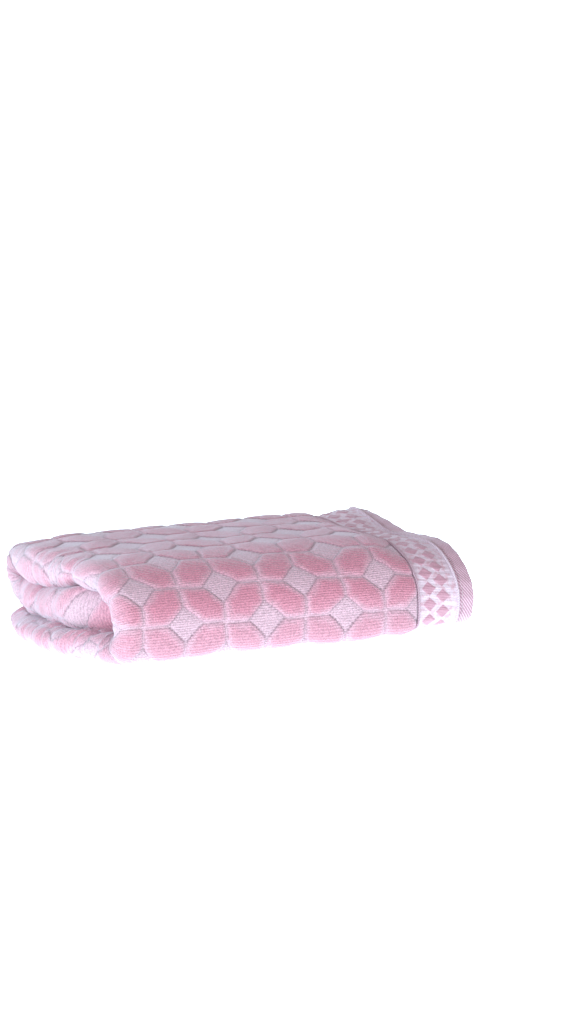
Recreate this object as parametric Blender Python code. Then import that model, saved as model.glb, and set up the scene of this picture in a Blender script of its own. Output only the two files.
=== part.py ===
"""Folded bath towel: one terry cloth, folded in quarters along its length
and then in thirds across its width.

Frame: X along the towel, with the rolled folds at -X and the hems at +X.
Y across it, with the big near fold at -Y. Z up, with the floor at z = 0.

Every sub-part is an outline in (x, t) carried along the fold path (s).
x runs along the towel, t is the depth below the cloth's face side, and s
is the distance across the cloth, from the free edge that lies underneath.
"""
import math

import bmesh
import bpy

# --- driving dimensions, metres -------------------------------------------
LENGTH = 0.362            # folded length, along X
WIDTH = 0.205             # folded width, along Y
PLY = 0.0065              # one layer of terry, pile to pile
GAP = 0.0003              # clearance between pieces that touch
PANEL_GAP = 0.00065       # clearance between the three thirds
PLIES = 4                 # layers in each third

STRIP = PLIES * PLY + (PLIES - 1) * GAP       # thickness of one third
HEIGHT = 3 * STRIP + 2 * PANEL_GAP            # whole stack

LOW_RADIUS = 0.029        # near fold, where it rolls off the floor
HIGH_RADIUS = HEIGHT - LOW_RADIUS             # near fold, up to the top
FAR_RADIUS = STRIP + PANEL_GAP / 2            # far fold, top to middle third
FREE_EDGE_Y = 0.095       # the free edge of the bottom third
TUCKED_EDGE_Y = -0.052    # the tucked-in edge of the middle third, uppermost layer
OVERRUN = 0.022           # how much further out its lowest layer ends

END_X = LENGTH / 2
CREASE_SET_BACK = 0.003   # the first fold's crease lies behind the hems
HEM_WIDTH = 0.0146        # turned end hem
CORD_WIDTH = 0.0020       # woven cord ridge
BAND_WIDTH = 0.0385       # flat dobby border
SIDE_HEM = 0.008          # turned side hem

SIDE_HEM_INSET = 0.0010   # how far each surface lies below the terry
BAND_INSET = 0.0016
CORD_INSET = 0.0004
HEM_INSET = 0.0013
THREAD_WIDTH = 0.0009
THREAD_HEIGHT = 0.0006
THREAD_CLEAR = 0.0003     # the thread stays this far below the terry's face
HEM_SEAM = 0.0025         # end-hem seam, from the hem's inner edge
SIDE_SEAM = 0.0055        # side-hem seam, from the cloth's edge

LABEL_X = 0.086           # blank care label on the free edge
LABEL_LENGTH = 0.036
LABEL_HEIGHT = 0.022
LABEL_FLOOR = 0.002
LABEL_THICKNESS = 0.0006

ROSE = (0.56, 0.30, 0.36)
PALE = (0.72, 0.52, 0.58)
WHITE = (0.88, 0.86, 0.86)
COTTON_ROUGHNESS = 0.95


# --- the fold path ---------------------------------------------------------
def straight(y, z, heading, inward, length):
    """A flat run of the face side: heading along Y, inward normal along Z."""
    def point(s, t):
        return y + heading * s, z + inward * t
    return length, point


def tucked(y, z, length):
    """The middle third: a flat run whose end slants to fill the near fold.

    Its lower layers run on further than its uppermost one.
    """
    def point(s, t):
        return y - s - OVERRUN * (1 - t / STRIP) * s / length, z + t
    return length, point


def arc(centre, radius, start, turn):
    """A rounded run of the face side, about a centre inside the fold."""
    def point(s, t):
        angle = start + math.copysign(s / radius, turn)
        reach = radius - t
        return centre[0] + reach * math.cos(angle), centre[1] + reach * math.sin(angle)
    return radius * abs(turn), point


QUARTER = math.pi / 2
NEAR_Y = -WIDTH / 2
FAR_CENTRE_Y = WIDTH / 2 - FAR_RADIUS
FACE_OF_MIDDLE = HEIGHT - 2 * FAR_RADIUS

RUNS = {
    "bottom": straight(FREE_EDGE_Y, 0.0, -1, 1, FREE_EDGE_Y - NEAR_Y - LOW_RADIUS),
    "near_low": arc((NEAR_Y + LOW_RADIUS, LOW_RADIUS), LOW_RADIUS, -QUARTER, -QUARTER),
    "near_high": arc((NEAR_Y + HIGH_RADIUS, LOW_RADIUS), HIGH_RADIUS, -2 * QUARTER, -QUARTER),
    "top": straight(NEAR_Y + HIGH_RADIUS, HEIGHT, 1, -1, FAR_CENTRE_Y - NEAR_Y - HIGH_RADIUS),
    "far": arc((FAR_CENTRE_Y, HEIGHT - FAR_RADIUS), FAR_RADIUS, QUARTER, -2 * QUARTER),
    "middle": tucked(FAR_CENTRE_Y, FACE_OF_MIDDLE, FAR_CENTRE_Y - TUCKED_EDGE_Y),
}
STARTS = {}
CLOTH_WIDTH = 0.0                              # without the middle third's overrun
for run_name, (run_length, _) in RUNS.items():
    STARTS[run_name] = CLOTH_WIDTH
    CLOTH_WIDTH += run_length

ARC_STEP = math.radians(15)
STATIONS = {}
for run_name, (run_length, _) in RUNS.items():
    radius = {"near_low": LOW_RADIUS, "near_high": HIGH_RADIUS, "far": FAR_RADIUS}.get(run_name)
    pieces = 1 if radius is None else round(run_length / radius / ARC_STEP)
    STATIONS[run_name] = [STARTS[run_name] + run_length * i / pieces for i in range(pieces + 1)]


def place(x, t, s):
    """The point at depth t below the face side, s across the cloth."""
    names = list(RUNS)
    index = max(i for i, name in enumerate(names) if STARTS[name] <= s + 1e-9)
    y, z = RUNS[names[index]][1](s - STARTS[names[index]], t)
    return x, y, z


def stations_between(low, high):
    """Both ends of a stretch of cloth, and every station inside it."""
    every = sorted({round(s, 7) for run in STATIONS.values() for s in run})
    return [low] + [s for s in every if low + 1e-5 < s < high - 1e-5] + [high]


# --- outlines in (x, t) ----------------------------------------------------
def turn(x, t, radius, start, sweep, steps):
    """Points of an arc in the (x, t) plane."""
    return [(x + radius * math.cos(start + sweep * i / steps),
             t + radius * math.sin(start + sweep * i / steps)) for i in range(steps + 1)]


ROLL_X = -END_X + STRIP / 2                   # centre of the -X folds
MID_T = STRIP / 2
CREASE_T = 3 * (PLY + GAP) - GAP / 2          # centre of the +X crease
CREASE_X = END_X - CREASE_SET_BACK - (PLY + GAP / 2)


def serpentine(face_end, back_end, inset=0.0):
    """The cloth's four layers in one line: under the first layer's hem,
    round the outer roll, back along the fourth layer, round the crease,
    along the third layer, round the inner roll and out along the second.
    """
    wide, slit = PLY + GAP / 2 - inset, GAP / 2 + inset
    outer, inner = MID_T - inset, MID_T - PLY + inset
    half = 2 * QUARTER
    line = [(face_end, MID_T - outer)]
    line += turn(ROLL_X, MID_T, outer, -QUARTER, -half, 10)
    line += turn(CREASE_X, CREASE_T, wide, QUARTER, -half, 6)
    line += turn(ROLL_X, MID_T, slit, QUARTER, half, 2)
    line += [(back_end, MID_T - slit), (back_end, MID_T - wide)]
    line += turn(ROLL_X, MID_T, wide, -QUARTER, -half, 6)
    line += turn(CREASE_X, CREASE_T, slit, -QUARTER, half, 2)
    line += turn(ROLL_X, MID_T, inner, QUARTER, half, 6)
    line += [(face_end, MID_T - inner)]
    return line


def block(x_low, x_high, t_low, t_high):
    """A plain rectangle."""
    return [(x_low, t_low), (x_low, t_high), (x_high, t_high), (x_high, t_low)]


def rounded_hem(x_low, x_high, t_low, t_high):
    """A turned hem: flat on both faces, with a round outer edge."""
    radius = (t_high - t_low) / 2
    edge = turn(x_high - radius, (t_low + t_high) / 2, radius, QUARTER, -2 * QUARTER, 4)
    return [(x_low, t_low), (x_low, t_high)] + edge


def half_round(x_low, x_high, t_face, t_back):
    """A woven cord: round on the face side, flat underneath."""
    radius = (x_high - x_low) / 2
    depth = math.copysign(radius, t_back - t_face)
    middle = (x_low + x_high) / 2
    crown = [(middle - radius * math.cos(math.pi * i / 4),
              t_face + depth - depth * math.sin(math.pi * i / 4)) for i in range(5)]
    return crown + [(x_high, t_back), (x_low, t_back)]


def roll_thread(low, high):
    """A seam along the first layer, round the roll and along the fourth."""
    outer, inner = MID_T - low, MID_T - high
    line = [(END_X - 2 * GAP, low)]
    line += turn(ROLL_X, MID_T, outer, -QUARTER, -2 * QUARTER, 10)
    line += [(CREASE_X, STRIP - low), (CREASE_X, STRIP - high)]
    line += turn(ROLL_X, MID_T, inner, QUARTER, 2 * QUARTER, 10)
    return line + [(END_X - 2 * GAP, high)]


# --- building --------------------------------------------------------------
def material(name, colour):
    """A matt cotton finish in one colour."""
    surface = bpy.data.materials.new(name)
    surface.use_nodes = True
    shader = surface.node_tree.nodes["Principled BSDF"]
    shader.inputs["Base Color"].default_value = (*colour, 1.0)
    shader.inputs["Roughness"].default_value = COTTON_ROUGHNESS
    shader.inputs["Metallic"].default_value = 0.0
    return surface


def finish(bm, name, colour):
    """Turn a closed bmesh into the named object of one sub-part."""
    bmesh.ops.recalc_face_normals(bm, faces=bm.faces)
    mesh = bpy.data.meshes.new(name)
    bm.to_mesh(mesh)
    bm.free()
    mesh.shade_smooth()
    mesh.set_sharp_from_angle(angle=math.radians(35))
    mesh.materials.append(material(name, colour))
    piece = bpy.data.objects.new(name, mesh)
    bpy.context.collection.objects.link(piece)
    return piece


def carry(name, outline, stations, colour):
    """Extrude an (x, t) outline along the fold path."""
    bm = bmesh.new()
    ring = [bm.verts.new(place(x, t, stations[0])) for x, t in outline]
    first = cap = bm.faces.new(ring)
    for s in stations[1:]:
        grown = bmesh.ops.extrude_face_region(bm, geom=[cap], use_keep_orig=True)
        if cap is not first:
            bm.faces.remove(cap)
        cap = next(item for item in grown["geom"] if isinstance(item, bmesh.types.BMFace))
        for vert, (x, t) in zip(cap.verts, outline):
            vert.co = place(x, t, s)
    return finish(bm, name, colour)


# --- the terry cloth, split at its folds ------------------------------------
INNER_CORD_X = END_X - HEM_WIDTH - GAP - CORD_WIDTH - GAP - BAND_WIDTH - GAP - CORD_WIDTH
FIELD_END_X = INNER_CORD_X - GAP


def build_terry():
    """The looped field of the cloth, one node for each third and each fold."""
    panels = {
        "bottom_third": ["bottom"],
        "near_fold": ["near_low", "near_high"],
        "top_third": ["top"],
        "far_fold": ["far"],
        "middle_third": ["middle"],
    }
    outline = serpentine(FIELD_END_X, FIELD_END_X)
    for name, runs in panels.items():
        low = STARTS[runs[0]] + (SIDE_HEM if name == "bottom_third" else GAP / 2)
        high = STARTS[runs[-1]] + RUNS[runs[-1]][0] - (SIDE_HEM if name == "middle_third" else GAP / 2)
        carry(name, outline, stations_between(low, high), ROSE)


def build_side_hems():
    """The two turned long edges, with their seams."""
    outline = serpentine(END_X, END_X, SIDE_HEM_INSET)
    thread = roll_thread(THREAD_CLEAR, THREAD_CLEAR + THREAD_HEIGHT / 2)
    edges = {
        "bottom_side_hem": (0.0, SIDE_HEM - GAP, SIDE_SEAM),
        "middle_side_hem": (CLOTH_WIDTH - SIDE_HEM + GAP, CLOTH_WIDTH, CLOTH_WIDTH - SIDE_SEAM),
    }
    for name, (low, high, seam) in edges.items():
        carry(name, outline, [low, high], PALE)
        carry(name + "_thread", thread, [seam - THREAD_WIDTH / 2, seam + THREAD_WIDTH / 2], WHITE)


# --- the two woven ends ------------------------------------------------------
def build_end(prefix, face, back):
    """One end of the cloth: cord, dobby band, cord and turned hem.

    face and back are the depths of its layer's pile face and of its back;
    the pile face is the larger depth on a layer that faces inwards.
    """
    inward = math.copysign(1.0, back - face)

    def depth(inset):
        return face + inward * inset

    span = stations_between(SIDE_HEM, CLOTH_WIDTH - SIDE_HEM)
    x = INNER_CORD_X
    carry(prefix + "_inner_cord", half_round(x, x + CORD_WIDTH, depth(CORD_INSET), back), span, PALE)
    x += CORD_WIDTH + GAP
    band = block(x, x + BAND_WIDTH, *sorted((depth(BAND_INSET), back)))
    carry(prefix + "_border_band", band, span, PALE)
    x += BAND_WIDTH + GAP
    carry(prefix + "_outer_cord", half_round(x, x + CORD_WIDTH, depth(CORD_INSET), back), span, PALE)
    x += CORD_WIDTH + GAP
    hem = rounded_hem(x, END_X, *sorted((depth(HEM_INSET), back)))
    carry(prefix + "_end_hem", hem, span, ROSE)
    seam = x + HEM_SEAM
    levels = sorted((depth(THREAD_CLEAR), depth(THREAD_CLEAR + THREAD_HEIGHT)))
    thread = block(seam - THREAD_WIDTH / 2, seam + THREAD_WIDTH / 2, *levels)
    carry(prefix + "_hem_thread", thread, span, WHITE)


# --- the care label ----------------------------------------------------------
def build_label():
    """A blank folded label that stands against the bottom third's free edge."""
    y = FREE_EDGE_Y + GAP
    bm = bmesh.new()
    bmesh.ops.create_cube(bm, size=1.0)
    bmesh.ops.scale(bm, verts=bm.verts, vec=(LABEL_LENGTH, LABEL_THICKNESS, LABEL_HEIGHT))
    middle = (LABEL_X + LABEL_LENGTH / 2, y + LABEL_THICKNESS / 2, LABEL_FLOOR + LABEL_HEIGHT / 2)
    bmesh.ops.translate(bm, verts=bm.verts, vec=middle)
    finish(bm, "care_label", WHITE)
    bm = bmesh.new()
    bmesh.ops.create_cube(bm, size=1.0)
    run = (LABEL_LENGTH - 2 * THREAD_WIDTH, THREAD_HEIGHT, THREAD_WIDTH)
    bmesh.ops.scale(bm, verts=bm.verts, vec=run)
    outside = y + LABEL_THICKNESS + GAP + THREAD_HEIGHT / 2
    seam = (middle[0], outside, LABEL_FLOOR + SIDE_SEAM)
    bmesh.ops.translate(bm, verts=bm.verts, vec=seam)
    finish(bm, "care_label_thread", PALE)


for old in list(bpy.data.objects):
    bpy.data.objects.remove(old, do_unlink=True)

build_terry()
build_side_hems()
build_end("face", 0.0, PLY)
build_end("back", 2 * PLY + GAP, PLY + GAP)
build_label()
print("cloth width %.4f m, stack height %.4f m" % (CLOTH_WIDTH, HEIGHT))
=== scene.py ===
# %% [markdown]
# # A folded bath towel
# One heavy terry towel, folded in quarters along its length and then in thirds across its
# width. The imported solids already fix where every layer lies. This script gives the cloth
# its looks: a sculpted pile of petals and lozenges, a woven border, cords, hems and seams.
# The plan is the one a sewing room would follow. Each piece is first laid out flat on the
# table, and one function then folds everything, so that all the pieces meet.

# %% Load the fixed frame
import math

import bmesh
import bpy
import numpy as np
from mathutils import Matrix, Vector


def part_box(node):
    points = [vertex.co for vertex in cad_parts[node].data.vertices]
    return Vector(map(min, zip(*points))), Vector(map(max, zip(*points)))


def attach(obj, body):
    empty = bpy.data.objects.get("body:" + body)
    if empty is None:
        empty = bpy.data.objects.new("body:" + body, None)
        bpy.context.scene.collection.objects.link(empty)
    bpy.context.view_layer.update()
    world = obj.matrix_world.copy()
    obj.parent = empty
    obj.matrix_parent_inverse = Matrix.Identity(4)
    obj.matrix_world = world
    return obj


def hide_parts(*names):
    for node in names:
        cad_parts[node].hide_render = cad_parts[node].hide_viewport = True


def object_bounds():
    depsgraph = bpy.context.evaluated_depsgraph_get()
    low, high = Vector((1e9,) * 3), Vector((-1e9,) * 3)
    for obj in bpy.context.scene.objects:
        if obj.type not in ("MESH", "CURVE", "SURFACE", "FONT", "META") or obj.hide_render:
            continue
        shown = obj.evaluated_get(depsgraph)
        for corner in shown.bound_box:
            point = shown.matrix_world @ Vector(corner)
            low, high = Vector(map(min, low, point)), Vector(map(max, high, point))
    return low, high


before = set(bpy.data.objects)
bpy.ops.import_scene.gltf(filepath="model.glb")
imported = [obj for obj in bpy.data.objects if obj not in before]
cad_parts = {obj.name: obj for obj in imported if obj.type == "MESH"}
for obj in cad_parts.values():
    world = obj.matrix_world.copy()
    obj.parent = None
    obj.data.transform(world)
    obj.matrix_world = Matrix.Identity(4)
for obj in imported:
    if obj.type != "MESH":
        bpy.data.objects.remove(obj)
CAD_LOW, CAD_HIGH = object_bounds()
print("nodes", len(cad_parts), "box", tuple(CAD_LOW), tuple(CAD_HIGH))

# %% [markdown]
# The camera comes first. It looks at the towel from its near, rolled corner, from a little
# above, through a long lens, as a product is usually shown. Such a view flattens the
# perspective, and shows the rolled end, the big near fold and the border at once.

# %% Camera
CAMERA_PLACE = Vector((-1.1359, -2.1305, 0.5097))
CAMERA_HEADING = math.radians(-29.12)
CAMERA_TILT = math.radians(90.0 - 9.56)
CAMERA_LENS = 98.6

camera_data = bpy.data.cameras.new("camera")
camera_data.lens = CAMERA_LENS
camera = bpy.data.objects.new("camera", camera_data)
camera.location = CAMERA_PLACE
camera.rotation_euler = (CAMERA_TILT, 0.0, CAMERA_HEADING)
bpy.context.collection.objects.link(camera)
bpy.context.scene.camera = camera
print("camera at", tuple(round(c, 3) for c in camera.location))

# %% [markdown]
# The towel lies in a white studio, on a paper sweep: a floor that turns up into a wall far
# behind it. The sweep glows, so the light comes mostly from below and from the front. That
# is why the towel's lower edge is its brightest part, why it casts no shadow, and why its
# top, which sees only the dim room, is greyer.

# %% Floor, world and lights
FLOOR_SIZE = 24.0
WALL_HEIGHT = 7.0
SWEEP_RADIUS = 2.0
FLOOR_COLOUR = (0.80, 0.97, 1.00)
FLOOR_GLOW = 1.85
WORLD_COLOUR = (1.0, 0.84, 0.88, 1.0)
WORLD_STRENGTH = 0.46
# Each lamp: name, place, size, power, colour.
LAMPS = (
    ("key", (-2.2, -0.9, 0.5), 1.2, 46.0, (0.77, 1.0, 1.06)),
    ("fill", (0.6, -2.2, 0.9), 1.2, 7.0, (1.0, 0.90, 0.92)),
    ("back", (0.4, 1.8, 1.3), 1.4, 4.0, (0.95, 0.97, 1.0)),
)
centre = Vector((0.0, 0.0, (CAD_LOW.z + CAD_HIGH.z) / 2))


def plain_material(name, colour, glow):
    """A matt material that also gives off some light of its own colour."""
    surface = bpy.data.materials.new(name)
    surface.use_nodes = True
    shader = surface.node_tree.nodes["Principled BSDF"]
    shader.inputs["Base Color"].default_value = (*colour, 1.0)
    shader.inputs["Roughness"].default_value = 1.0
    shader.inputs["Specular IOR Level"].default_value = 0.0
    shader.inputs["Emission Color"].default_value = (*colour, 1.0)
    shader.inputs["Emission Strength"].default_value = glow
    return surface


def soft_box(name, place, size, power, colour):
    """A square area light that faces the towel."""
    light = bpy.data.lights.new(name, "AREA")
    light.shape = "SQUARE"
    light.size = size
    light.energy = power
    light.color = colour
    lamp = bpy.data.objects.new(name, light)
    lamp.location = place
    lamp.rotation_euler = (centre - lamp.location).to_track_quat("-Z", "Y").to_euler()
    lamp.visible_camera = False
    bpy.context.collection.objects.link(lamp)
    return lamp


bm = bmesh.new()
bmesh.ops.create_grid(bm, x_segments=1, y_segments=1, size=FLOOR_SIZE / 2)
far_edge = [e for e in bm.edges if all(v.co.y > 0.0 for v in e.verts)]
turn = bmesh.ops.spin(bm, geom=far_edge, cent=(0, FLOOR_SIZE / 2, SWEEP_RADIUS), axis=(1, 0, 0),
                      angle=math.pi / 2, steps=24)
wall_foot = [e for e in turn["geom_last"] if isinstance(e, bmesh.types.BMEdge)]
wall = bmesh.ops.extrude_edge_only(bm, edges=wall_foot)
wall_top = [v for v in wall["geom"] if isinstance(v, bmesh.types.BMVert)]
bmesh.ops.translate(bm, verts=wall_top, vec=(0, 0, WALL_HEIGHT))
floor_mesh = bpy.data.meshes.new("floor")
bm.to_mesh(floor_mesh)
bm.free()
floor_mesh.shade_smooth()
floor = bpy.data.objects.new("floor", floor_mesh)
floor_mesh.materials.append(plain_material("white_paper", FLOOR_COLOUR, FLOOR_GLOW))
bpy.context.collection.objects.link(floor)

world = bpy.data.worlds.new("studio")
world.use_nodes = True
world.node_tree.nodes["Background"].inputs["Color"].default_value = WORLD_COLOUR
world.node_tree.nodes["Background"].inputs["Strength"].default_value = WORLD_STRENGTH
bpy.context.scene.world = world
bpy.context.scene.view_settings.view_transform = "Standard"

for lamp_values in LAMPS:
    soft_box(*lamp_values)

# %% [markdown]
# A folded towel is easiest to describe with two drawings. The first is the cloth seen from
# its long edge: four layers, joined by a roll at one end, a crease at the other, and a
# small roll inside. The second is the stack seen from its end: the bottom third, the near
# fold, the top third, the far fold and the tucked-in middle third. All the sizes are read
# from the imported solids.

# %% Sizes read from the frame
GAP = 0.0003
WRAP = math.pi


def extent(node, axis):
    """The lowest and highest coordinate of a CAD node along one axis."""
    low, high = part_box(node)
    return low[axis], high[axis]


END_X = CAD_HIGH.x
NEAR_Y, FAR_Y, HEIGHT = CAD_LOW.y, CAD_HIGH.y, CAD_HIGH.z
top_low, top_high = extent("top_third", 2)
STRIP = top_high - top_low
PLY = (STRIP - 3 * GAP) / 4
ROLL_RADIUS = STRIP / 2
ROLL_X = CAD_LOW.x + ROLL_RADIUS
FREE_EDGE_Y = extent("bottom_side_hem", 1)[1]
LOW_RADIUS = extent("bottom_third", 1)[0] - GAP / 2 - NEAR_Y
far_low, far_high = extent("far_fold", 2)
FAR_RADIUS = (far_high - far_low) / 2
FACE_OF_MIDDLE = far_low
TUCKED_Y = extent("middle_side_hem", 1)[0]
LOW_Y = NEAR_Y + LOW_RADIUS
CREASE_X = extent("bottom_third", 0)[1] - (PLY + GAP / 2)
CREASE_T = 3 * (PLY + GAP) - GAP / 2
HEM_X = extent("face_end_hem", 0)
SIDE_HEM = 0.008
print("one third is %.1f mm thick, one layer %.1f mm" % (STRIP * 1e3, PLY * 1e3))

# %% [markdown]
# The near fold of a soft stack isn't a plain half circle. It leaves the floor on a tight
# round and leans back onto the top over a long shoulder. Two quarter ellipses give that
# shape. The whole path is kept as a fine chain of points, so any distance across the cloth
# can be looked up on it.

# %% The path across the stack
SHOULDER = 0.064
PATH_STEP = 0.0004


def quarter(centre_y, centre_z, reach_y, reach_z, start, sweep):
    """Points of an elliptical bend of the path."""
    count = max(8, int(abs(sweep) * max(abs(reach_y), abs(reach_z)) / PATH_STEP))
    angle = start + sweep * np.arange(1, count + 1) / count
    return np.stack([centre_y + reach_y * np.cos(angle), centre_z + reach_z * np.sin(angle)], 1)


def build_path():
    """Places, inward normals and distances of the cloth's face across the stack."""
    top_y = NEAR_Y + SHOULDER
    far_y, far_z = FAR_Y - FAR_RADIUS, HEIGHT - FAR_RADIUS
    high_reach = HEIGHT - LOW_RADIUS
    half = math.pi / 2
    corners = [np.array([[FREE_EDGE_Y, 0.0], [LOW_Y, 0.0]])]
    corners.append(quarter(LOW_Y, LOW_RADIUS, LOW_RADIUS, LOW_RADIUS, -half, -half))
    corners.append(quarter(top_y, LOW_RADIUS, SHOULDER, high_reach, -2 * half, -half))
    corners.append(np.array([[far_y, HEIGHT]]))
    corners.append(quarter(far_y, far_z, FAR_RADIUS, FAR_RADIUS, half, -2 * half))
    corners.append(np.array([[TUCKED_Y, FACE_OF_MIDDLE]]))
    lengths = [len(c) for c in corners]
    line = np.concatenate(corners)
    step = np.linalg.norm(np.diff(line, axis=0), axis=1)
    along = np.concatenate([[0.0], np.cumsum(step)])
    marks = along[np.cumsum(lengths) - 1]
    s = np.linspace(0.0, along[-1], int(along[-1] / PATH_STEP))
    points = np.stack([np.interp(s, along, line[:, 0]), np.interp(s, along, line[:, 1])], 1)
    heading = np.gradient(points, s, axis=0)
    heading /= np.linalg.norm(heading, axis=1)[:, None]
    return s, points, np.stack([heading[:, 1], -heading[:, 0]], 1), marks


PATH_S, PATH_POINT, PATH_NORMAL, marks = build_path()
FLOOR_END, _, NEAR_END, TOP_END, FAR_END, CLOTH_WIDTH = marks
print("the cloth is %.0f mm wide along its face" % (CLOTH_WIDTH * 1e3))

# %% [markdown]
# The second drawing: the cloth's own length, from the hem that shows to the hem hidden
# behind it. It runs to the roll, comes back as the fourth layer, turns in the crease, runs
# in as the third layer, turns in the small roll and comes out as the second layer.
# Hands never fold a towel square, so the rolled end leans in and out. ROLL_LEAN says how
# far, as pairs of (distance across the cloth, lean along x). Its last pair draws the end
# of the tucked-in third back behind the lip of the near fold.

# %% The path along the layers
OUTER = (END_X - ROLL_X, ROLL_RADIUS * WRAP)
INNER = (CREASE_X - ROLL_X, (PLY + GAP / 2) * WRAP)
SLIT = GAP / 2
WEB_MARKS = np.cumsum([
    0.0, OUTER[0], OUTER[1], INNER[0], INNER[1], INNER[0], SLIT * WRAP, OUTER[0]])
WEB_LENGTH = WEB_MARKS[-1]
print("the cloth is %.0f mm long" % (WEB_LENGTH * 1e3))


def slow(value, *knots):
    """A smooth curve through (place, height) knots, level at each of them."""
    places, heights = np.array(knots).T
    i = np.clip(np.searchsorted(places, value) - 1, 0, len(places) - 2)
    t = np.clip((value - places[i]) / (places[i + 1] - places[i]), 0.0, 1.0)
    return heights[i] + (heights[i + 1] - heights[i]) * t * t * (3.0 - 2.0 * t)


ROLL_LEAN = (
    (0.0, 0.004), (0.030, -0.005), (0.060, -0.012), (0.098, -0.013), (0.122, -0.010),
    (0.145, 0.000), (0.170, 0.011), (0.190, 0.017), (0.240, 0.019), (NEAR_END, 0.012),
    (NEAR_END + 0.040, 0.0055), (TOP_END, -0.001), (TOP_END + 0.040, 0.001),
    (FAR_END, 0.006), (FAR_END + 0.030, -0.001), (FAR_END + 0.092, -0.001),
    (CLOTH_WIDTH, 0.038))


def roll_centre(v):
    """Where the rolled end's centre lies, for each line across the cloth."""
    return ROLL_X + slow(v, *ROLL_LEAN)


def along_layers(u, v):
    """x, depth t and the face's outward normal, at a distance u from the outer hem."""
    centre_x = roll_centre(v)
    roll_start = END_X - centre_x
    roll_end = roll_start + ROLL_RADIUS * WRAP
    part = np.clip(np.searchsorted(WEB_MARKS, u, side="right") - 1, 2, 6)
    part = np.where(u < roll_end, 1, part)
    part = np.where(u < roll_start, 0, part)
    s = u - WEB_MARKS[part]
    crease_radius = PLY + GAP / 2
    roll = (u - roll_start) / ROLL_RADIUS
    share = (u - roll_end) / (WEB_MARKS[3] - roll_end)
    crease = s / crease_radius
    slit = s / SLIT
    zero, one = np.zeros_like(u), np.ones_like(u)
    x = np.choose(part, [
        END_X - u,
        centre_x - ROLL_RADIUS * np.sin(roll),
        centre_x + share * (CREASE_X - centre_x),
        CREASE_X + crease_radius * np.sin(crease),
        CREASE_X - s / INNER[0] * (CREASE_X - centre_x),
        centre_x - SLIT * np.sin(slit),
        centre_x + s / OUTER[0] * (END_X - centre_x),
    ])
    t = np.choose(part, [
        zero,
        ROLL_RADIUS - ROLL_RADIUS * np.cos(roll),
        STRIP * one,
        CREASE_T + crease_radius * np.cos(crease),
        (CREASE_T - crease_radius) * one,
        ROLL_RADIUS + SLIT * np.cos(slit),
        (ROLL_RADIUS - SLIT) * one,
    ])
    nx = np.choose(part, [zero, -np.sin(roll), zero, np.sin(crease), zero, np.sin(slit), zero])
    nt = np.choose(part, [-one, -np.cos(roll), one, np.cos(crease), -one, -np.cos(slit), one])
    return x, t, nx, nt


# %% [markdown]
# A real stack is never square. The thirds slump a little at the rolled end, where the
# middle third is the thickest, the far corner of the hem lifts, the border is thinner than
# the pile and dips, and the rolled end runs a little askew. These are slow, smooth moves
# of everything at once, so no piece leaves its neighbour. FIRM says how square the low
# corner is pressed along x. NEAR_DIP and FAR_DIP scale the height along x, at the near and
# the far side of the border. The LOWER and UPPER levels are the heights of the two creases
# between the three thirds at the rolled end.

# %% How the stack has settled
LOWER_CREASE, UPPER_CREASE = STRIP, 2 * STRIP
FIRM = ((-0.170, 1.0), (-0.115, 1.1), (-0.060, 0.9), (-0.010, 1.1), (0.050, 1.4),
        (0.105, 1.3), (0.127, 0.8), (0.181, 0.6))
NEAR_DIP = ((0.095, 1.0), (0.123, 0.925), (0.142, 0.92), (0.166, 0.88), (0.181, 0.885))
FAR_DIP = ((0.100, 1.0), (0.112, 0.99), (0.123, 0.955), (0.136, 0.99), (0.149, 1.03),
           (0.166, 1.05), (0.181, 1.005))
LEAST_SQUARE = 0.25
NEAR_SAG, SAG_X, SAG_REACH = 0.0025, 0.080, 0.045
HEM_HOLLOW, HOLLOW_Y, HOLLOW_REACH = 0.02, 0.005, 0.030
LOWER_LEVEL, LOWER_LEAN = 0.0180, 0.0045
UPPER_LEVEL, UPPER_LEAN, UPPER_FAR = 0.0460, 0.0095, 0.0040
TOP_SLUMP = 0.05


def smooth(start, end, value):
    """0 at start, 1 at end, with a soft beginning and finish."""
    t = np.clip((value - start) / (end - start), 0.0, 1.0)
    return t * t * (3.0 - 2.0 * t)


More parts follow.
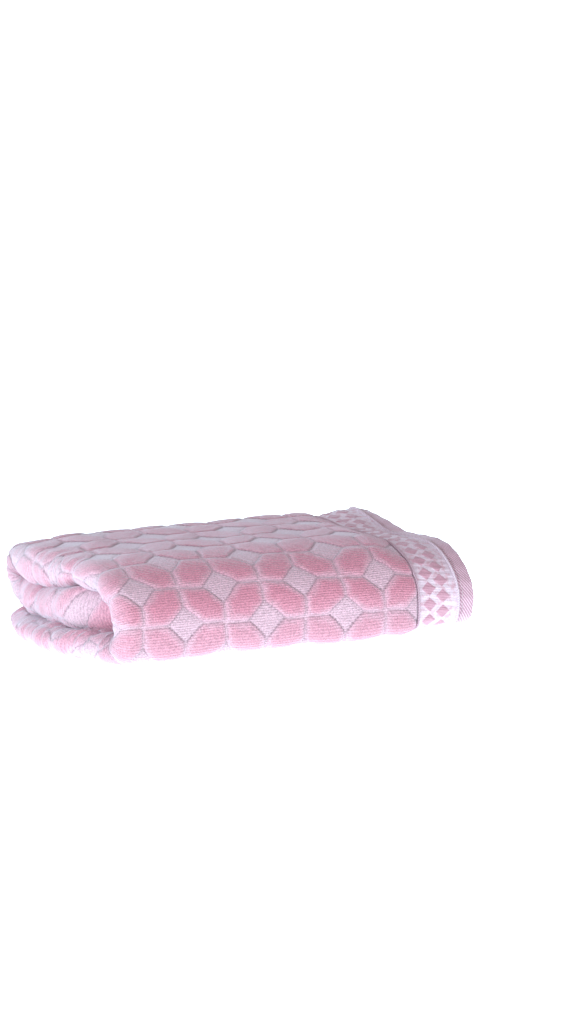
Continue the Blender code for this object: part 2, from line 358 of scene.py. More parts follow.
def settle(x, y, z):
    """Move points of the ideal stack to where a soft one has settled."""
    p = np.clip((LOW_Y - y) / LOW_RADIUS, 0.0, None)
    q = np.clip((LOW_RADIUS - z) / LOW_RADIUS, 0.0, None)
    reach = np.hypot(p, q) + 1e-9
    square = np.maximum((p / reach) ** 4 + (q / reach) ** 4, LEAST_SQUARE) ** -0.25 - 1.0
    firm = slow(x, *FIRM)
    corner = (p > 0.0) & (q > 0.0)
    y = y - np.where(corner, p * square * firm, 0.0) * LOW_RADIUS
    z = z - np.where(corner, q * square * firm, 0.0) * LOW_RADIUS
    y = y - NEAR_SAG * np.exp(-((x - SAG_X) / SAG_REACH) ** 2) * smooth(-0.050, -0.090, y)

    rolled = smooth(-0.094, -0.149, x)
    lower = LOWER_LEVEL + LOWER_LEAN * smooth(0.09, -0.09, y)
    upper = UPPER_LEVEL + UPPER_LEAN * smooth(0.02, -0.03, y) + UPPER_FAR * smooth(0.03, 0.09, y)
    top = HEIGHT * (1.0 - TOP_SLUMP * smooth(-0.119, -0.179, x))
    part = np.where(
        z < LOWER_CREASE, z / LOWER_CREASE * lower,
        np.where(z < UPPER_CREASE,
                 lower + (z - LOWER_CREASE) / (UPPER_CREASE - LOWER_CREASE) * (upper - lower),
                 upper + (z - UPPER_CREASE) / (HEIGHT - UPPER_CREASE) * (top - upper)))
    inside = smooth(-0.104, -0.080, y)
    z = z + rolled * inside * (part - z)

    near_scale = slow(x, *NEAR_DIP)
    far_scale = slow(x, *FAR_DIP)
    hollow = HEM_HOLLOW * np.exp(-((y - HOLLOW_Y) / HOLLOW_REACH) ** 2) * smooth(0.140, 0.175, x)
    z = z * (near_scale + (far_scale - near_scale) * smooth(0.010, 0.100, y) - hollow)
    return x, y, z


def wander(x, y, z, pitch, seed):
    """A slow, repeatable wave of size about 1 over the stack."""
    k = 2 * math.pi / pitch
    return (np.sin(k * (x + 0.37 * y) + seed) * np.cos(k * (0.9 * y - 0.3 * x + z) + 1.7 * seed)
            + 0.5 * np.sin(k * 1.9 * (y - z) + 2.9 * seed + k * 0.6 * x)) / 1.5


# %% Folding a flat piece
WAVE = 0.0009


def fold(u, v, rise):
    """Take flat cloth places, and heights above the face, to their folded places."""
    x, t, nx, nt = along_layers(u, v)
    x = x + rise * nx
    t = t + rise * nt
    y = np.interp(v, PATH_S, PATH_POINT[:, 0])
    z = np.interp(v, PATH_S, PATH_POINT[:, 1])
    ny = np.interp(v, PATH_S, PATH_NORMAL[:, 0])
    nz = np.interp(v, PATH_S, PATH_NORMAL[:, 1])
    size = np.hypot(ny, nz)
    tuck = np.clip((NEAR_Y + SHOULDER - y) / (SHOULDER - STRIP), 0.0, 0.98)
    room = LOW_RADIUS - FACE_OF_MIDDLE + (HEIGHT - LOW_RADIUS - STRIP) * np.sqrt(1.0 - tuck ** 2)
    t = np.where(v > FAR_END, t * np.minimum(1.0, room / (STRIP - 0.0005)), t)
    y = y + t * ny / size
    z = z + t * nz / size
    off_floor = smooth(0.0, 0.020, z)
    sway = WAVE * off_floor
    wave_y = sway * wander(x, y, z, 0.095, 0.8)
    wave_z = sway * wander(x, y, z, 0.110, 2.1)
    return settle(x, y + wave_y, z + wave_z)


# %% [markdown]
# The pattern repeats on a lattice. Flat pale lozenges sit at every other crossing, and the
# four raised petals round each of them fill the cells between. Narrow channels part the
# petals. The signed distance from a petal's edge drives everything: how high the pile
# stands, and later which yarn shows. Measured in cloth coordinates, the pattern follows
# the cloth round every fold by itself.

# %% The woven pattern
REPEAT_ALONG, REPEAT_ACROSS = 0.0765, 0.0665
LATTICE_X = -0.1034
LATTICE_TILT = 0.0325
LATTICE_Y, LATTICE_STEP = -0.0341, 0.0316
on_top = (PATH_S > NEAR_END - 0.03) & (PATH_S < TOP_END)
LATTICE_V = np.interp(LATTICE_Y, PATH_POINT[on_top, 0], PATH_S[on_top]) - LATTICE_STEP
LOZENGE = (0.0164, 0.0150)
CHANNEL = 0.0020
PETAL_CORNER = 0.0035
DRIFT = 0.0006


def soft_min(a, b, radius):
    """The smaller of two distances, rounded where they are alike."""
    h = np.clip(0.5 + 0.5 * (b - a) / radius, 0.0, 1.0)
    return b + (a - b) * h - radius * h * (1.0 - h)


def drift(first, second, slow_pitch, bend_pitch, quick_pitch, cross_pitch):
    """How far the loom let a thread wander, in metres."""
    return DRIFT * (np.sin(first / slow_pitch + 2.0 * np.sin(second / bend_pitch))
                    + 0.5 * np.sin(first / quick_pitch + second / cross_pitch))


def pattern(u, v):
    """Distances inside the nearest petal and inside the nearest lozenge, in metres."""
    x = END_X - u
    pulled = drift(v, u, 0.0090, 0.031, 0.0037, 0.013)
    slack = drift(u, v, 0.0110, 0.027, 0.0043, -0.017)
    a = (x + pulled - LATTICE_X) / (REPEAT_ALONG / 2)
    b = (LATTICE_V - v + slack - LATTICE_TILT * (x - 0.025)) / (REPEAT_ACROSS / 2)
    fa, fb = a - np.floor(a), b - np.floor(b)
    odd = (np.floor(a) + np.floor(b)) % 2 > 0.5
    fa = np.where(odd, 1.0 - fa, fa)
    along, across = fa * REPEAT_ALONG / 2, fb * REPEAT_ACROSS / 2
    far_along, far_across = REPEAT_ALONG / 2 - along, REPEAT_ACROSS / 2 - across
    scale = LOZENGE[0] * LOZENGE[1] / math.hypot(*LOZENGE)
    near_corner = (along / LOZENGE[0] + across / LOZENGE[1] - 1.0) * scale
    far_corner = (far_along / LOZENGE[0] + far_across / LOZENGE[1] - 1.0) * scale
    lozenge = -np.minimum(near_corner, far_corner)
    sides = soft_min(np.minimum(along, far_along), np.minimum(across, far_across), PETAL_CORNER)
    petal = soft_min(sides - CHANNEL / 2, -lozenge - CHANNEL / 4, PETAL_CORNER / 2)
    return petal, lozenge


PETAL_RISE, PETAL_CROWN, GROUND_DEPTH = 0.0013, 0.0007, 0.0004
FACE_LIFT = 0.0010


def pile_height(petal, lozenge):
    """The height of the pile above the deepest ground."""
    body = PETAL_RISE * np.sqrt(smooth(-0.0006, 0.0026, petal))
    crown = PETAL_CROWN * smooth(-0.001, 0.0125, petal)
    flat = GROUND_DEPTH * smooth(0.0005, 0.0025, lozenge)
    return body + crown + flat


PILE_TOP = PETAL_RISE + PETAL_CROWN - FACE_LIFT

# %% [markdown]
# A piece is made in four moves: lay it out flat with bmesh, remember where each point lies
# on the cloth as a UV map in metres, raise or lower it by its pattern, and fold it. The
# vertex attributes keep the distances of the pattern for the material. Distance along the
# cloth runs against x, so folding is also a mirror: the faces are turned over first, and
# come out facing outwards.

# %% From a flat bmesh to a folded piece
def finish_piece(bm, name, relief=None, smooth_shade=True, lay=fold):
    """Fold a bmesh laid out as (along, across, height) and make it an object."""
    bmesh.ops.recalc_face_normals(bm, faces=bm.faces)
    if lay is fold:
        bmesh.ops.reverse_faces(bm, faces=bm.faces)
    mesh = bpy.data.meshes.new(name)
    bm.to_mesh(mesh)
    bm.free()
    flat = np.empty(len(mesh.vertices) * 3)
    mesh.vertices.foreach_get("co", flat)
    u, v, rise = flat.reshape(-1, 3).T
    corner = np.empty(len(mesh.loops), dtype=np.int64)
    mesh.loops.foreach_get("vertex_index", corner)
    layer = mesh.uv_layers.new(name="cloth")
    layer.data.foreach_set("uv", np.stack([u[corner], v[corner]], 1).astype(np.float32).ravel())
    if relief is not None:
        rise = rise + relief(mesh, u, v)
    x, y, z = lay(u, v, rise)
    mesh.vertices.foreach_set("co", np.stack([x, y, z], 1).astype(np.float32).ravel())
    mesh.update()
    if smooth_shade:
        mesh.shade_smooth()
    piece = bpy.data.objects.new(name, mesh)
    bpy.context.collection.objects.link(piece)
    print("%-24s %6d faces" % (name, len(mesh.polygons)))
    return piece


def store(mesh, name, values):
    """Keep one number for each vertex, in millimetres, for the material to read."""
    slot = mesh.attributes.new(name, "FLOAT", "POINT")
    slot.data.foreach_set("value", (values * 1e3).astype(np.float32))


def flat_cloth(u_low, u_high, v_low, v_high, pitch_u, pitch_v):
    """A grid of cloth on the table, with the face up."""
    bm = bmesh.new()
    cells = (max(1, round((u_high - u_low) / pitch_u)), max(1, round((v_high - v_low) / pitch_v)))
    bmesh.ops.create_grid(bm, x_segments=cells[0], y_segments=cells[1], size=0.5)
    bmesh.ops.scale(bm, verts=bm.verts, vec=(u_high - u_low, v_high - v_low, 1.0))
    middle = ((u_low + u_high) / 2, (v_low + v_high) / 2, 0.0)
    bmesh.ops.translate(bm, verts=bm.verts, vec=middle)
    return bm


# %% [markdown]
# The looped field is the towel's main surface. It could be one huge grid, but the faces
# that nobody sees would cost as much as the ones that show. So it is made in parts that
# meet at the folds: fine grids for the near fold and the top, coarser ones for the far
# fold, the underside and the tucked-in third, a narrow one for the inner crease that shows
# between the hems, and a lining that closes the slit above the bottom third at the back.
# The long edges dive under the side hems, so that no gap shows beside them.
# TUCKS lists the deeper puckers of the rolled end, as (line, depth, width).

# %% The looped field
FINE = 0.00085
MEDIUM = 0.0014
COARSE = 0.0020
FIELD_START = END_X - extent("face_inner_cord", 0)[0]
ROLL_END = WEB_MARKS[2]
TUCK_IN = 0.046
EDGE_DROP = 0.0026
UNDER_CORD = 0.0012
PACKED_LIFT = 0.0014
SEAM_LEVEL = -0.0034
FIELD_EDGE = SIDE_HEM - UNDER_CORD
FINE_GATHER, FINE_GATHER_PITCH = 0.0004, 0.0105
BROAD_GATHER, BROAD_GATHER_PITCH = 0.0007, 0.043
TUCKS = (
    (NEAR_END + 0.020, 0.0030, 0.0050), (NEAR_END + 0.055, 0.0016, 0.0040),
    (NEAR_END - 0.020, 0.0014, 0.0045), (0.070, 0.0012, 0.0030), (0.105, 0.0016, 0.0030),
    (0.128, 0.0014, 0.0026), (0.150, 0.0018, 0.0030), (FAR_END + 0.040, 0.0014, 0.0040),
    (FAR_END + 0.085, 0.0016, 0.0040),
)


def gathers(u, v):
    """Small puckers that run round the rolled end, deepest next to the creases."""
    on_roll = smooth(ROLL_END - 0.066, ROLL_END - 0.034, u)
    phase = v + 0.0035 * np.sin(v / 0.011) + 0.002 * np.sin(v / 0.0047 + 1.3)
    fine = np.sin(2 * math.pi * phase / FINE_GATHER_PITCH) * (0.6 + 0.4 * np.sin(v / 0.017))
    broad = np.sin(2 * math.pi * v / BROAD_GATHER_PITCH + 0.8 * np.sin(v / 0.02))
    tucks = 0.0
    for line, depth, width in TUCKS:
        tucks = tucks - depth * np.exp(-((v - line) / width) ** 2)
    crowded = 1.0 + 0.9 * smooth(0.200, 0.160, v)
    return on_roll * (FINE_GATHER * crowded * fine + BROAD_GATHER * broad + tucks)


def field_relief(mesh, u, v):
    """Petals, channels and lozenges, pressed down by the cord and sewn down at the side."""
    petal, lozenge = pattern(u, v)
    store(mesh, "petal", petal)
    store(mesh, "lozenge", lozenge)
    pressed = smooth(FIELD_START + 0.0028, FIELD_START - 0.0006, u)
    packed = smooth(ROLL_END - 0.020, ROLL_END + 0.004, u)
    packed = packed * smooth(ROLL_END + 0.060, ROLL_END + 0.030, u)
    rise = pile_height(petal, lozenge) - PILE_TOP + gathers(u, v)
    rise = rise + PACKED_LIFT * packed - EDGE_DROP * pressed
    sewn = smooth(SIDE_HEM + 0.0040, SIDE_HEM, np.minimum(v, CLOTH_WIDTH - v))
    return rise + sewn * (SEAM_LEVEL - rise)


def field(name, v_low, v_high, pitch_v):
    """A stretch of looped field, from under the border's cord to inside the rolled end."""
    cloth = flat_cloth(FIELD_START - UNDER_CORD, ROLL_END + TUCK_IN, v_low, v_high, FINE, pitch_v)
    return finish_piece(cloth, name, field_relief)


terry_bottom = field("terry_bottom", FIELD_EDGE, FLOOR_END, MEDIUM)
terry_near = field("terry_near", FLOOR_END, NEAR_END, FINE)
terry_top = field("terry_top", NEAR_END, TOP_END, FINE)
terry_far = field("terry_far", TOP_END, FAR_END, MEDIUM)
terry_middle = field("terry_middle", FAR_END, CLOTH_WIDTH - FIELD_EDGE, MEDIUM)
CREASE_SPAN = (WEB_MARKS[3] - 0.020, WEB_MARKS[4] + 0.020)
crease_cloth = flat_cloth(*CREASE_SPAN, FIELD_EDGE, CLOTH_WIDTH - FIELD_EDGE, COARSE, COARSE)
terry_crease = finish_piece(crease_cloth, "terry_crease", field_relief)
LINING_SPAN = (ROLL_END + TUCK_IN, CREASE_SPAN[0])
lining_cloth = flat_cloth(*LINING_SPAN, FIELD_EDGE, FLOOR_END, COARSE, COARSE)
terry_lining = finish_piece(lining_cloth, "terry_lining", field_relief)

# %% [markdown]
# Past the field the weave changes. First a woven cord, then a flat dobby band with small
# lozenges, a second cord, and the turned hem. The band is a flat grid, puckered a little
# where the thick field pulls on it. Cords and hems are closed bars: a circle of points is
# squashed to the right section, extruded once to its full length, and its long edges are
# then cut up so that it can bend round the folds.

# %% Bars that bend with the cloth
BAR_SIDES = 14
SIDES_ACROSS = (SIDE_HEM - 0.0005, CLOTH_WIDTH - SIDE_HEM + 0.0005)


def bar(across_low, across_high, rise_low, rise_high, start, end, cut, along_cloth, square=0.55):
    """A closed bar with a rounded oblong section, laid across or along the cloth."""
    bm = bmesh.new()
    ring = bmesh.ops.create_circle(bm, cap_ends=True, segments=BAR_SIDES, radius=1.0)["verts"]
    for vert in ring:
        wide, tall = vert.co.x, vert.co.y
        wide = math.copysign(abs(wide) ** square, wide)
        tall = math.copysign(abs(tall) ** square, tall)
        side = (across_low + across_high) / 2 + wide * (across_high - across_low) / 2
        rise = (rise_low + rise_high) / 2 + tall * (rise_high - rise_low) / 2
        vert.co = (start, side, rise) if along_cloth else (side, start, rise)
    grown = bmesh.ops.extrude_face_region(bm, geom=bm.faces[:], use_keep_orig=True)
    moved = [item for item in grown["geom"] if isinstance(item, bmesh.types.BMVert)]
    step = (end - start, 0, 0) if along_cloth else (0, end - start, 0)
    bmesh.ops.translate(bm, verts=moved, vec=step)
    axis = 0 if along_cloth else 1
    long_edges = [e for e in bm.edges
                  if abs(e.verts[0].co[axis] - e.verts[1].co[axis]) > (end - start) / 2]
    bmesh.ops.subdivide_edges(bm, edges=long_edges, cuts=max(1, round((end - start) / cut)))
    return bm


# %% The border at each end
BAND_GRID = 0.0010
CORD_CUT = 0.0008
HEM_CUT = 0.0020
CORD_LOW, CORD_HIGH = -0.0042, -0.0002
BAND_LEVEL = -0.0021
HEM_LEVELS = (-0.0062, -0.0016)
CORD_SCALLOP = 0.0024
BAND_COLUMNS = (0.0100, 0.0238)
BAND_PITCH = 0.0152
BAND_LOZENGE = (0.0074, 0.0068)
BAND_RISE, BAND_PUCKER, PUCKER_PITCH = 0.0006, 0.00022, 0.0068
CORD_DEPTH = 0.00022
HEM_RIPPLE, RIPPLE_PITCH = 0.0003, 0.019


def band_pattern(u, v, edge):
    """Distance inside the nearest small lozenge of the border."""
    best = np.full_like(u, -1.0)
    for number, column in enumerate(BAND_COLUMNS):
        along = np.abs(np.abs(edge - u) - column)
        across = v / BAND_PITCH + 0.5 * number
        across = np.abs(across - np.round(across)) * BAND_PITCH
        best = np.maximum(best, 1.0 - along / BAND_LOZENGE[0] - across / BAND_LOZENGE[1])
    return best * BAND_LOZENGE[1] * 0.75


def band_relief(edge):
    """The border's own low relief, for a band whose field side is at the given edge."""
    def relief(mesh, u, v):
        inside = band_pattern(u, v, edge)
        store(mesh, "lozenge", inside)
        pucker = np.sin(2 * math.pi * v / PUCKER_PITCH + 2.0 * np.sin(v / 0.021))
        return BAND_LEVEL + BAND_RISE * smooth(-0.0004, 0.001, inside) + BAND_PUCKER * pucker
    return relief


def cord_relief(mesh, u, v):
    """A cord's twist, as small scallops along it."""
    return CORD_DEPTH * np.sin(2 * math.pi * v / CORD_SCALLOP)


def hem_relief(mesh, u, v):
    """The small ripples of a sewn hem."""
    return HEM_RIPPLE * np.sin(2 * math.pi * v / RIPPLE_PITCH + 1.5 * np.sin(v / 0.037))


def border(prefix, mirror):
    """Both cords, the band and the hem of one end of the cloth."""
    def at(x):
        distance = END_X - x
        return WEB_LENGTH - distance if mirror else distance

    def span(x_range):
        return sorted((at(x_range[0]), at(x_range[1])))

    pieces = {}
    for cord in ("inner_cord", "outer_cord"):
        low, high = span(extent(prefix + "_" + cord, 0))
        shape = bar(low, high, CORD_LOW, CORD_HIGH, *SIDES_ACROSS, CORD_CUT, False, 0.8)
        pieces[cord] = finish_piece(shape, prefix + "_" + cord + "_yarn", cord_relief)
    low, high = span(extent(prefix + "_border_band", 0))
    pitch = COARSE if mirror else BAND_GRID
    cloth = flat_cloth(low - 0.001, high + 0.001, *SIDES_ACROSS, pitch, pitch)
    edge = high if not mirror else low
    pieces["band"] = finish_piece(cloth, prefix + "_band_weave", band_relief(edge))
    low, high = span(extent(prefix + "_end_hem", 0))
    shape = bar(low, high, *HEM_LEVELS, *SIDES_ACROSS, HEM_CUT, False, 0.35)
    pieces["hem"] = finish_piece(shape, prefix + "_hem_weave", hem_relief)
    return pieces


face = border("face", False)
back = border("back", True)

# %% [markdown]
# Both long edges are turned under and stitched. That hem follows the cloth through all
# four layers, so seen from the back it is one line that goes out and home twice. It is
# nearly as thick as a layer, so the four passes close up.

# %% The side hems
SIDE_LEVELS = (-0.0060, -0.0004)
SIDE_CUT = 0.0016
bottom_edge = finish_piece(
    bar(0.0, SIDE_HEM, *SIDE_LEVELS, 0.0, WEB_LENGTH, SIDE_CUT, True, 0.4), "bottom_side_binding")
middle_edge = finish_piece(
    bar(CLOTH_WIDTH - SIDE_HEM, CLOTH_WIDTH, *SIDE_LEVELS, 0.0, WEB_LENGTH, SIDE_CUT, True, 0.4),
    "middle_side_binding")

# %% [markdown]
# Stitches are small, hard and shiny next to the pile, and the eye finds them at once. Each
# one is a little stretched bead of a few dozen faces, laid in a row on the flat cloth.

# %% Rows of stitches
STITCH_PITCH, STITCH_LENGTH = 0.0030, 0.0024
STITCH_WIDTH, STITCH_HEIGHT = 0.0008, 0.0006


def stitches(name, line, start, end, along_cloth, rise):
    """A straight seam of stitches at one distance from an edge."""
    bm = bmesh.new()
    count = int((end - start) / STITCH_PITCH)
    size = (STITCH_LENGTH, STITCH_WIDTH) if along_cloth else (STITCH_WIDTH, STITCH_LENGTH)
    for i in range(count):
        middle = start + (i + 0.5) * (end - start) / count
        bead = bmesh.ops.create_uvsphere(bm, u_segments=6, v_segments=4, radius=0.5)["verts"]
        bmesh.ops.scale(bm, verts=bead, vec=(size[0], size[1], STITCH_HEIGHT))
        spot = (middle, line, rise) if along_cloth else (line, middle, rise)
        bmesh.ops.translate(bm, verts=bead, vec=spot)
    return finish_piece(bm, name)


HEM_SEAM = 0.0026
seam_u = HEM_X[1] - HEM_X[0] - HEM_SEAM
hem_seam = stitches("face_hem_stitches", seam_u, *SIDES_ACROSS, False, HEM_LEVELS[1])
back_seam = stitches("back_hem_stitches", WEB_LENGTH - seam_u, *SIDES_ACROSS, False, HEM_LEVELS[1])
SIDE_SEAM = 0.0058
side_run = (0.001, ROLL_END + TUCK_IN)
bottom_seam = stitches("bottom_side_stitches", SIDE_SEAM, *side_run, True, SIDE_LEVELS[1])
middle_line = CLOTH_WIDTH - SIDE_SEAM
middle_seam = stitches("middle_side_stitches", middle_line, *side_run, True, SIDE_LEVELS[1])

# %% [markdown]
# A small blank label is caught in the seam at the back. It is a folded tape: a thin slab
# with soft edges that leans on the bottom third, with a row of stitches near its foot.

# %% The care label
LABEL_BEND = 0.0010


def stand_up(u, v, rise):
    """Leave a label where it was modelled: it is already in place."""
    return u, v, rise


label_low, label_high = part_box("care_label")
bm = bmesh.new()
bmesh.ops.create_cube(bm, size=1.0)
bmesh.ops.scale(bm, verts=bm.verts, vec=label_high - label_low)
bmesh.ops.translate(bm, verts=bm.verts, vec=(label_low + label_high) / 2)
tall = [e for e in bm.edges if abs(e.verts[0].co.z - e.verts[1].co.z) > 0.01]
bmesh.ops.subdivide_edges(bm, edges=tall, cuts=9)
wide = [e for e in bm.edges if abs(e.verts[0].co.x - e.verts[1].co.x) > 0.02]
bmesh.ops.subdivide_edges(bm, edges=wide, cuts=11)
for vert in bm.verts:
    up = (vert.co.z - label_low.z) / (label_high.z - label_low.z)
    run = (vert.co.x - label_low.x) / (label_high.x - label_low.x)
    vert.co.y += LABEL_BEND * (up * up + 0.5 * math.sin(3.0 * run) * up)
label = finish_piece(bm, "label_tape", lay=stand_up)

thread_low, thread_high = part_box("care_label_thread")
bm = bmesh.new()
label_stitches = 10
for i in range(label_stitches):
    bead = bmesh.ops.create_uvsphere(bm, u_segments=6, v_segments=4, radius=0.5)["verts"]
    bmesh.ops.scale(bm, verts=bead, vec=(STITCH_LENGTH, STITCH_HEIGHT, STITCH_WIDTH))
    spot_x = thread_low.x + (i + 0.5) * (thread_high.x - thread_low.x) / label_stitches
    spot = (spot_x, thread_low.y, (thread_low.z + thread_high.z) / 2)
    bmesh.ops.translate(bm, verts=bead, vec=spot)
label_thread = finish_piece(bm, "label_stitches", lay=stand_up)

# %% [markdown]
# Now the finishes. Cotton is matt, and its look comes from yarn: fine ribs that run along
# the cloth, a fuzzy pile that catches light at its edges, and colour that changes from
# loop to loop. All of it is made with nodes from the cloth's own UV map, in metres, so one
# rib is as wide round a fold as on the flat. A few helpers keep the node trees readable.
# Round the rolled end and from the low corner down, the rose is made a little paler. This is
# painted light: the strong light from the left on the roll, and the floor's glow low down.

# %% Node helpers
FIBRE_ROUGHNESS, FIBRE_GLOSS = 0.95, 0.15
SHEEN_ROUGHNESS = 0.42
SHEEN_TINT = (0.82, 0.90, 1.0)


class Weave:
    """A material's node tree, with short ways to add and join nodes."""

    def __init__(self, name):
        self.material = bpy.data.materials.new(name)
        self.material.use_nodes = True
        self.tree = self.material.node_tree
        self.shader = self.tree.nodes["Principled BSDF"]
        self.shader.inputs["Roughness"].default_value = FIBRE_ROUGHNESS
        self.shader.inputs["Specular IOR Level"].default_value = FIBRE_GLOSS

    def node(self, kind, **settings):
        made_node = self.tree.nodes.new(kind)
        for key, value in settings.items():
            setattr(made_node, key, value)
        return made_node

    def feed(self, socket, value):
        if isinstance(value, bpy.types.NodeSocket):
            self.tree.links.new(value, socket)
        else:
            socket.default_value = value

    def math(self, operation, *values):
        step = self.node("ShaderNodeMath", operation=operation)
        for socket, value in zip(step.inputs, values):
            self.feed(socket, value)
        return step.outputs[0]

    def ramp(self, value, low, high, out_low=0.0, out_high=1.0):
        step = self.node("ShaderNodeMapRange", interpolation_type="SMOOTHSTEP")
        for key, number in zip(("Value", "From Min", "From Max", "To Min", "To Max"),
                               (value, low, high, out_low, out_high)):
            self.feed(step.inputs[key], number)
        return step.outputs["Result"]

    def mix(self, share, first, second, blend="MIX"):
        step = self.node("ShaderNodeMix", data_type="RGBA", blend_type=blend)
        self.feed(step.inputs[0], share)
        for socket, colour in ((step.inputs[6], first), (step.inputs[7], second)):
            self.feed(socket, (*colour, 1.0) if isinstance(colour, tuple) else colour)
        return step.outputs[2]

    def place(self):
        """Distances along and across the cloth, in metres."""
        parts = self.node("ShaderNodeSeparateXYZ")
        chart = self.node("ShaderNodeUVMap", uv_map="cloth")
        self.tree.links.new(chart.outputs[0], parts.inputs[0])
        return parts.outputs[0], parts.outputs[1]

    def stored(self, name):
        return self.node("ShaderNodeAttribute", attribute_name=name).outputs["Fac"]

    def noise(self, scale, detail=2.0):
        cloud = self.node("ShaderNodeTexNoise", noise_dimensions="3D")
        cloud.inputs["Scale"].default_value = scale
        cloud.inputs["Detail"].default_value = detail
        spot = self.node("ShaderNodeTexCoord")
        self.tree.links.new(spot.outputs["Object"], cloud.inputs["Vector"])
        return cloud.outputs["Fac"]

    def wave(self, value, pitch, shift=0.0):
        """A wave from 0 to 1 that repeats every pitch metres."""
        turns = self.math("MULTIPLY_ADD", value, 2 * math.pi / pitch, shift)
        return self.math("MULTIPLY_ADD", self.math("SINE", turns), 0.5, 0.5)

    def grey(self, shade):
        """One number as a colour."""
        tone = self.node("ShaderNodeCombineColor")
        for socket in tone.inputs:
            self.feed(socket, shade)
        return tone.outputs[0]

    def finish(self, colour, height, depth, sheen):
        """Send the colour and the yarn's height to the shader."""
        self.feed(self.shader.inputs["Base Color"], colour)
        bump = self.node("ShaderNodeBump")
        bump.inputs["Strength"].default_value = 1.0
        bump.inputs["Distance"].default_value = depth
        self.feed(bump.inputs["Height"], height)
        self.tree.links.new(bump.outputs[0], self.shader.inputs["Normal"])
        self.shader.inputs["Sheen Weight"].default_value = sheen
        self.shader.inputs["Sheen Roughness"].default_value = SHEEN_ROUGHNESS
        self.shader.inputs["Sheen Tint"].default_value = (*SHEEN_TINT, 1.0)
        return self.material


# %% Yarn colours
DEEP_ROSE = (0.570, 0.222, 0.302)
SOFT_ROSE = (0.615, 0.340, 0.425)
SHELL = (0.650, 0.405, 0.490)
LILAC = (0.610, 0.400, 0.480)
# The paler rose of the painted light on the roll and low on the near face.
PAINTED_LIGHT_ROSE = (0.660, 0.480, 0.575)
MAUVE = (0.560, 0.300, 0.385)
PALE_BAND = (0.740, 0.600, 0.700)
PALE_STRIPE, DARK_STRIPE = (0.72, 0.50, 0.60), (0.46, 0.25, 0.33)
OUTER_CORD, INNER_CORD = (0.74, 0.58, 0.67), (0.62, 0.43, 0.52)
SIDE_YARN, SEWING_THREAD, SATIN = (0.72, 0.50, 0.59), (0.86, 0.74, 0.79), (0.70, 0.61, 0.61)
# Painted light: where the rose turns paler, along the cloth round the roll and across it from the
# low corner down, and by how much.
ROLL_LIGHT_RISES, ROLL_LIGHT_ENDS, LOW_BEND_LIGHT_RISES = (0.322, 0.350), (0.430, 0.400), (0.236, 0.198)
ROLL_LIGHT_SHARE, LOW_BEND_LIGHT_SHARE = 0.30, 0.25
RIB_PITCH, BAND_RIB_PITCH, HEM_STRIPE_PITCH = 0.0021, 0.0016, 0.0040
HEM_SLANT = -1.55
TERRY_SHEEN, DOBBY_SHEEN = 0.85, 0.6
TERRY_DEPTH, DOBBY_DEPTH, YARN_DEPTH = 0.0007, 0.0005, 0.0003


def terry_weave():
    """Velour petals on a ribbed ground."""
    w = Weave("terry_weave")
    u, v = w.place()
    petal, lozenge = w.stored("petal"), w.stored("lozenge")
    rib = w.wave(v, RIB_PITCH)
    fibre = w.noise(900.0, 4.0)
    blotch = w.noise(75.0, 4.0)
    ragged = w.math("MULTIPLY_ADD", w.noise(600.0), 1.4, -0.7)
    uneven = w.math("ADD", w.math("MULTIPLY_ADD", rib, 1.1, -0.55), ragged)
    flat = w.math("ADD", lozenge, uneven)
    depth = w.math("ADD", petal, w.math("MULTIPLY_ADD", blotch, 12.0, -6.0))
    colour = w.mix(w.ramp(petal, -0.9, 0.6), SHELL, SOFT_ROSE)
    colour = w.mix(w.ramp(depth, -1.0, 7.0), colour, DEEP_ROSE)
    # Painted light: paler rose round the rolled end, for the light from the left, and on the lower
    # near face, for the floor's glow.
    rolled = w.math("MULTIPLY", w.ramp(u, *ROLL_LIGHT_RISES, 0.0, ROLL_LIGHT_SHARE), w.ramp(u, *ROLL_LIGHT_ENDS))
    painted_light = w.math("MAXIMUM", rolled, w.ramp(v, *LOW_BEND_LIGHT_RISES, 0.0, LOW_BEND_LIGHT_SHARE))
    colour = w.mix(painted_light, colour, PAINTED_LIGHT_ROSE)
    colour = w.mix(w.ramp(flat, -0.3, 0.4), colour, LILAC)
    # Painted shade: a thin dark line in the groove round each lozenge, where the petals shade it.
    lozenge_edge_shade = w.math("MULTIPLY", w.ramp(flat, -1.5, -0.5), w.ramp(flat, 0.6, -0.1))
    shade = w.math("MULTIPLY_ADD", rib, 0.10, 0.96)
    shade = w.math("MULTIPLY", shade, w.ramp(fibre, 0.30, 0.70, 0.74, 1.22))
    # Painted shade: the channels between the petals are darkened a little at their edges, where
    # the raised pile shades them.
    channel_shade = w.math("MULTIPLY", w.ramp(petal, -0.9, -0.2), w.ramp(petal, 0.8, 0.1))
    shade = w.math("MULTIPLY", shade, w.math("MULTIPLY_ADD", channel_shade, -0.14, 1.0))
    shade = w.math("MULTIPLY", shade, w.math("MULTIPLY_ADD", lozenge_edge_shade, -0.30, 1.0))
    colour = w.mix(1.0, colour, w.grey(shade), "MULTIPLY")
    height = w.math("ADD", w.math("MULTIPLY", rib, 0.45), w.math("MULTIPLY", fibre, 0.9))
    return w.finish(colour, height, TERRY_DEPTH, TERRY_SHEEN)


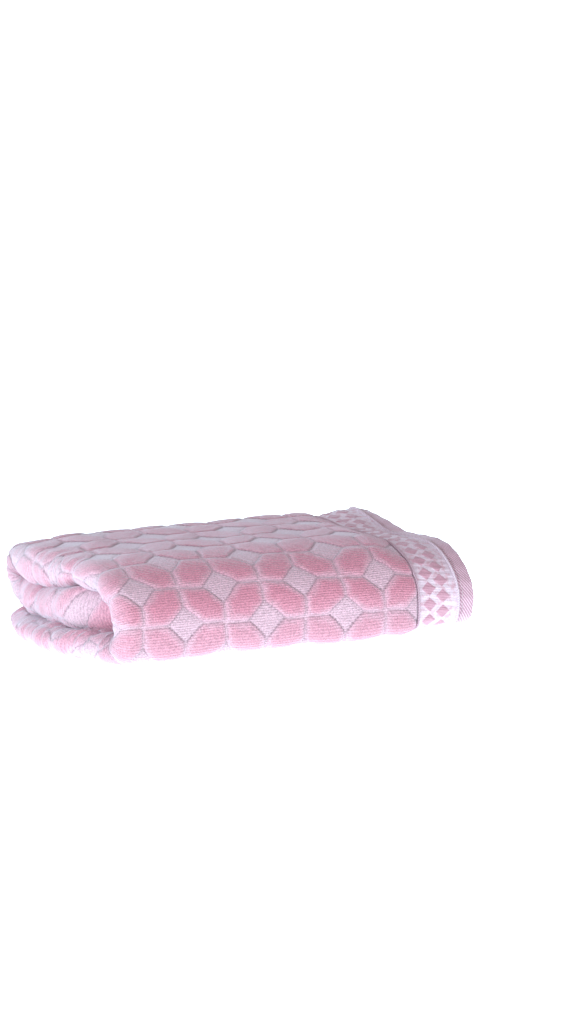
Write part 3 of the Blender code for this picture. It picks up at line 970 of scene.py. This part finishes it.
def band_weave():
    """Small rose lozenges on a pale dobby ground."""
    w = Weave("band_weave")
    _, v = w.place()
    fibre = w.noise(1300.0, 3.0)
    ragged = w.math("MULTIPLY_ADD", w.noise(500.0), 1.4, -0.7)
    inside = w.math("ADD", w.stored("lozenge"), ragged)
    rib = w.wave(v, BAND_RIB_PITCH)
    pale = w.mix(w.ramp(w.noise(220.0), 0.46, 0.70), PALE_BAND, SHELL)
    colour = w.mix(w.ramp(inside, -0.4, 0.5), pale, MAUVE)
    shade = w.math("MULTIPLY", w.math("MULTIPLY_ADD", rib, 0.12, 0.94),
                   w.ramp(fibre, 0.25, 0.75, 0.86, 1.10))
    colour = w.mix(1.0, colour, w.grey(shade), "MULTIPLY")
    height = w.math("ADD", w.math("MULTIPLY", rib, 0.4), w.math("MULTIPLY", fibre, 0.6))
    return w.finish(colour, height, DOBBY_DEPTH, DOBBY_SHEEN)


def hem_weave():
    """A slanting rib across the turned hem."""
    w = Weave("hem_weave")
    u, v = w.place()
    slant = w.math("MULTIPLY_ADD", u, HEM_SLANT, v)
    stripe = w.wave(slant, HEM_STRIPE_PITCH)
    fibre = w.noise(1400.0, 3.0)
    colour = w.mix(w.ramp(stripe, 0.20, 0.80), PALE_STRIPE, DARK_STRIPE)
    shade = w.ramp(fibre, 0.25, 0.75, 0.86, 1.10)
    colour = w.mix(1.0, colour, w.grey(shade), "MULTIPLY")
    height = w.math("ADD", w.math("MULTIPLY", stripe, 0.5), w.math("MULTIPLY", fibre, 0.5))
    return w.finish(colour, height, DOBBY_DEPTH, DOBBY_SHEEN)


def yarn(name, colour, across, pitch, sheen):
    """A plain twisted yarn of one colour."""
    w = Weave(name)
    u, v = w.place()
    twist = w.wave(w.math("MULTIPLY_ADD", u if across else v, 1.4, v if across else u), pitch)
    fibre = w.noise(1600.0, 2.0)
    dark = tuple(c * 0.72 for c in colour)
    tone = w.mix(w.ramp(w.math("ADD", twist, fibre), 0.5, 1.4), dark, colour)
    height = w.math("ADD", twist, w.math("MULTIPLY", fibre, 0.4))
    return w.finish(tone, height, YARN_DEPTH, sheen)


# %% Give each piece its finish
terry = terry_weave()
for piece in (terry_near, terry_top, terry_far, terry_bottom, terry_middle, terry_crease,
              terry_lining):
    piece.data.materials.append(terry)
band_finish = band_weave()
hem_finish = hem_weave()
cord_finish = yarn("cord_yarn", OUTER_CORD, True, CORD_SCALLOP, 0.5)
inner_cord_finish = yarn("inner_cord_yarn", INNER_CORD, True, CORD_SCALLOP, 0.3)
edge_finish = yarn("side_hem_yarn", SIDE_YARN, False, 0.0018, 0.5)
thread_finish = yarn("sewing_thread", SEWING_THREAD, False, 0.0009, 0.1)
tape_finish = yarn("label_satin", SATIN, False, 0.0007, 0.0)
for end in (face, back):
    end["band"].data.materials.append(band_finish)
    end["hem"].data.materials.append(hem_finish)
    end["inner_cord"].data.materials.append(inner_cord_finish)
    end["outer_cord"].data.materials.append(cord_finish)
for piece in (bottom_edge, middle_edge):
    piece.data.materials.append(edge_finish)
for piece in (hem_seam, back_seam, bottom_seam, middle_seam, label_thread):
    piece.data.materials.append(thread_finish)
label.data.materials.append(tape_finish)

# %% [markdown]
# Last, the bookkeeping: which solid each piece stands for, and which finish in the record it
# takes.

# %% Tie the pieces to the frame
STANDS_FOR = [
    (terry_near, "terry", ("near_fold",)),
    (terry_top, "terry", ("top_third",)),
    (terry_far, "terry", ("far_fold",)),
    (terry_bottom, "terry", ("bottom_third",)),
    (terry_middle, "terry", ("middle_third",)),
    (terry_crease, "terry", ("bottom_third",)),
    (terry_lining, "terry", ("bottom_third",)),
    (bottom_edge, "side_hem", ("bottom_side_hem",)),
    (middle_edge, "side_hem", ("middle_side_hem",)),
    (bottom_seam, "thread", ("bottom_side_hem_thread",)),
    (middle_seam, "thread", ("middle_side_hem_thread",)),
    (hem_seam, "thread", ("face_hem_thread",)),
    (back_seam, "thread", ("back_hem_thread",)),
    (label, "label", ("care_label",)),
    (label_thread, "thread", ("care_label_thread",)),
]
for prefix, end in (("face", face), ("back", back)):
    STANDS_FOR.append((end["inner_cord"], "cord", (prefix + "_inner_cord",)))
    STANDS_FOR.append((end["outer_cord"], "cord", (prefix + "_outer_cord",)))
    STANDS_FOR.append((end["band"], "border", (prefix + "_border_band",)))
    STANDS_FOR.append((end["hem"], "hem", (prefix + "_end_hem",)))
for piece, finish_slot, nodes in STANDS_FOR:
    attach(piece, "root")
    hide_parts(*nodes)
